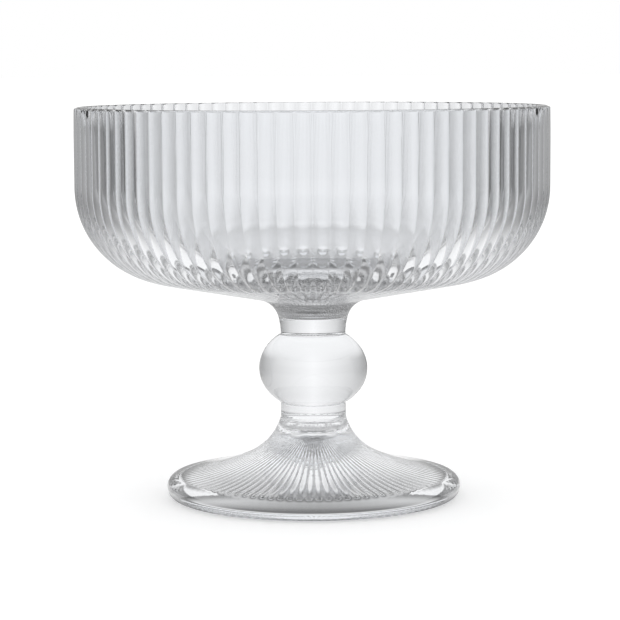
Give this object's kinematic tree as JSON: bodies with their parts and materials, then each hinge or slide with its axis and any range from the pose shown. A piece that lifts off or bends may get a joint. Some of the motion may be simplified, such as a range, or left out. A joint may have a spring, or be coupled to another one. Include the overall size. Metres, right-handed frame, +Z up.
{
  "type": "pedestal dessert coupe",
  "caption": "Clear glass dessert coupe: a wide, low bowl with fine upright ribs, on a short stem with a flattened ball, over a flared round foot.",
  "frame": {"origin": "on the table, under the middle of the foot", "axes": "+Z up along the stem's axis; a groove of the bowl faces -Y, the side that the picture shows"},
  "size_m": [0.11, 0.11, 0.0912],
  "materials": {
    "clear_glass": "clear, fire-polished"
  },
  "bodies": {
    "root": {"bowl": "clear_glass", "upper_collar": "clear_glass", "ball_knop": "clear_glass", "lower_collar": "clear_glass", "foot": "clear_glass"}
  },
  "joints": []
}
